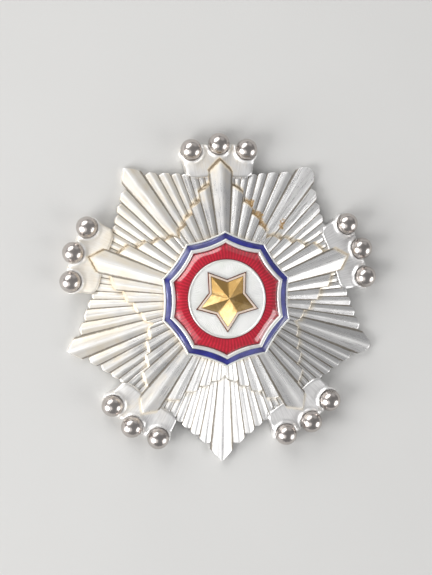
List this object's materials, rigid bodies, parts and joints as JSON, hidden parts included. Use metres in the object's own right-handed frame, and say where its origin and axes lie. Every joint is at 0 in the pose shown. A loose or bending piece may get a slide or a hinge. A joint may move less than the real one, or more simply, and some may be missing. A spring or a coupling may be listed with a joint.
{
  "type": "order breast star",
  "caption": "Domed silver breast star with fluted ray fans, a raised star, balls at the arm tips and an enamelled ten-sided medallion with a gold star.",
  "frame": {"origin": "on the star's middle axis, in the plane of the surface that it lies on face up", "axes": "+Z out of the star's face, +Y towards its top arm, +X to its right seen from the front"},
  "size_m": [0.0608, 0.0622, 0.0099],
  "materials": {
    "struck_silver": "polished silver, tarnished cream and brown in its recesses",
    "medallion_silver": "polished silver with a fine radial ribbing",
    "blue_enamel": "glossy opaque vitreous enamel",
    "red_enamel": "glossy translucent vitreous enamel over engine-turned rays",
    "gilt": "worn gilding on silver",
    "nut_metal": "plain turned metal"
  },
  "bodies": {
    "root": {"star_plate": "struck_silver", "medallion_base": "medallion_silver", "blue_enamel": "blue_enamel", "red_enamel": "red_enamel", "gold_star": "gilt", "back_nut": "nut_metal"}
  },
  "joints": []
}
